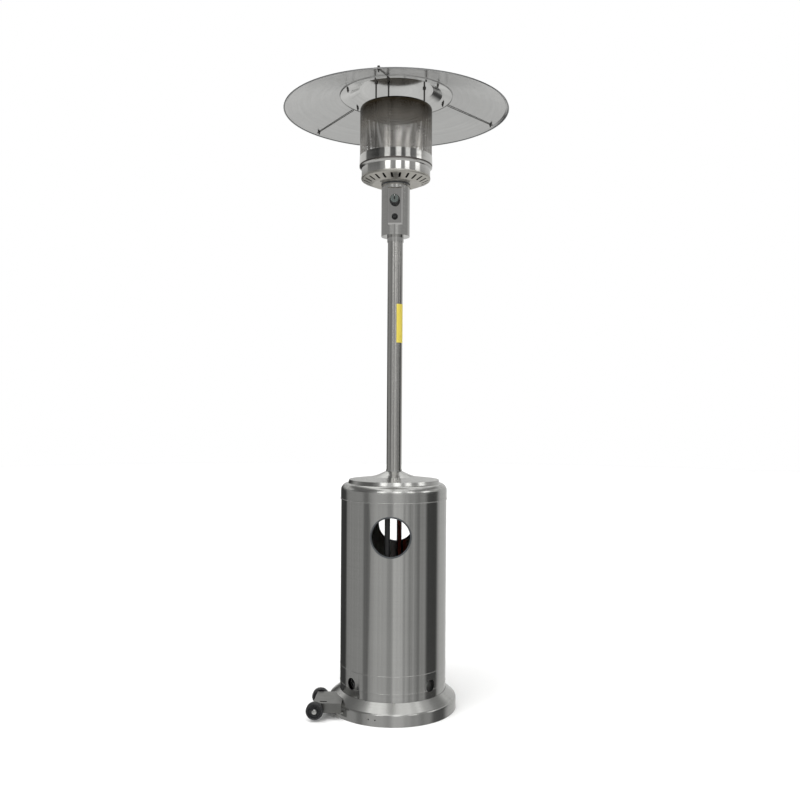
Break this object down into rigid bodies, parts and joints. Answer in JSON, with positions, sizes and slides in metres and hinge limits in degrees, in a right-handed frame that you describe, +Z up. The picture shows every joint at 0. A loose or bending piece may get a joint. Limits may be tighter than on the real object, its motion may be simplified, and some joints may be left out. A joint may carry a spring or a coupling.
{
  "type": "patio gas heater",
  "caption": "Free-standing mushroom gas heater: bottle housing on a wheeled base, post, control head, emitter screen and round panelled reflector.",
  "frame": {"origin": "centre of the base, on the floor", "axes": "+Z up; -Y is the front with the control knob; the wheels are on the -X side"},
  "size_m": [0.814, 0.8139, 2.242],
  "materials": {
    "brushed_stainless": "brushed round the part",
    "polished_stainless": "polished",
    "satin_post": "satin, lengthwise grain",
    "emitter_steel": "perforated, tinted by heat",
    "reflector_aluminium": "satin mirror",
    "burner_steel": "dark, heat stained",
    "frame_paint": "satin black",
    "base_paint": "satin grey",
    "bottle_paint": "semi-gloss",
    "brass": "turned",
    "hose_rubber": "smooth red",
    "trim_rubber": "satin",
    "knob_plastic": "fine moulded grain",
    "wheel_plastic": "moulded",
    "handwheel_plastic": "moulded",
    "zinc_steel": "zinc plated",
    "dark_zinc": "dark plated",
    "regulator_alloy": "cast, painted",
    "bracket_steel": "silver grey",
    "label_film": "yellow film, blank",
    "ceramic": "glazed"
  },
  "bodies": {
    "stand": {"base_ring": "brushed_stainless", "base_plate": "base_paint", "leg_front": "frame_paint", "leg_rear": "frame_paint", "leg_side": "frame_paint", "frame_bolts": "zinc_steel", "post_bracket": "frame_paint", "post": "satin_post", "post_label": "label_film", "post_collar": "polished_stainless", "gas_bottle": "bottle_paint", "bottle_foot_ring": "bottle_paint", "bottle_collar": "bottle_paint", "bottle_valve": "brass", "hose_nut": "knob_plastic", "regulator": "regulator_alloy", "gas_hose": "hose_rubber", "control_housing": "polished_stainless", "control_panel": "polished_stainless", "valve_bracket": "zinc_steel", "gas_valve": "brass", "gas_pipe": "brass", "tilt_switch": "knob_plastic", "igniter_body": "knob_plastic", "pilot_tube": "brass", "pilot_burner": "burner_steel", "thermocouple": "brass", "spark_electrode": "ceramic", "burner_head": "burner_steel", "burner_plate": "burner_steel", "burner_dish": "polished_stainless", "dish_screws": "dark_zinc", "lower_band": "polished_stainless", "upper_band": "polished_stainless", "emitter_screen": "emitter_steel", "emitter_top": "burner_steel", "reflector_studs": "dark_zinc", "stud_nuts": "dark_zinc", "reflector_centre": "reflector_aluminium", "reflector_panel_1": "reflector_aluminium", "reflector_panel_2": "reflector_aluminium", "reflector_panel_3": "reflector_aluminium", "reflector_bolts": "dark_zinc", "wheel_bracket": "bracket_steel", "bracket_bolts": "zinc_steel", "wheel_axle": "zinc_steel", "axle_caps": "zinc_steel"},
    "tank_housing": {"housing_shell": "brushed_stainless", "housing_cap": "polished_stainless", "hand_hole_trim_front": "trim_rubber", "hand_hole_trim_rear": "trim_rubber"},
    "knob_carrier": {"push_collar": "zinc_steel"},
    "knob": {"control_knob": "knob_plastic", "valve_spindle": "zinc_steel"},
    "igniter": {"igniter_button": "knob_plastic"},
    "front_wheel": {"wheel_front": "wheel_plastic"},
    "rear_wheel": {"wheel_rear": "wheel_plastic"},
    "handwheel": {"valve_handwheel": "handwheel_plastic"}
  },
  "joints": [
    {"name": "housing_lift", "type": "slide", "parent": "stand", "child": "tank_housing", "axis": [0, 0, 1], "range_m": [0, 0.82]},
    {"name": "knob_push", "type": "slide", "parent": "stand", "child": "knob_carrier", "axis": [0, 1, 0], "range_m": [0, 0.0035], "stiffness_N_per_m": 600, "springref_m": -0.004},
    {"name": "knob_turn", "type": "hinge", "parent": "knob_carrier", "child": "knob", "pos_m": [0, -0.07, 1.82], "axis": [0, -1, 0], "range_deg": [0, 210]},
    {"name": "igniter_press", "type": "slide", "parent": "stand", "child": "igniter", "axis": [0, 1, 0], "range_m": [0, 0.006], "stiffness_N_per_m": 800, "springref_m": -0.003},
    {"name": "front_wheel_spin", "type": "hinge", "parent": "stand", "child": "front_wheel", "pos_m": [-0.258, -0.188, 0.0365], "axis": [0, 1, 0], "continuous": true},
    {"name": "rear_wheel_spin", "type": "hinge", "parent": "stand", "child": "rear_wheel", "pos_m": [-0.258, -0.036, 0.0365], "axis": [0, 1, 0], "continuous": true},
    {"name": "bottle_valve_turn", "type": "hinge", "parent": "stand", "child": "handwheel", "pos_m": [0, 0, 0.42], "axis": [0, 0, 1], "range_deg": [0, 720]}
  ]
}
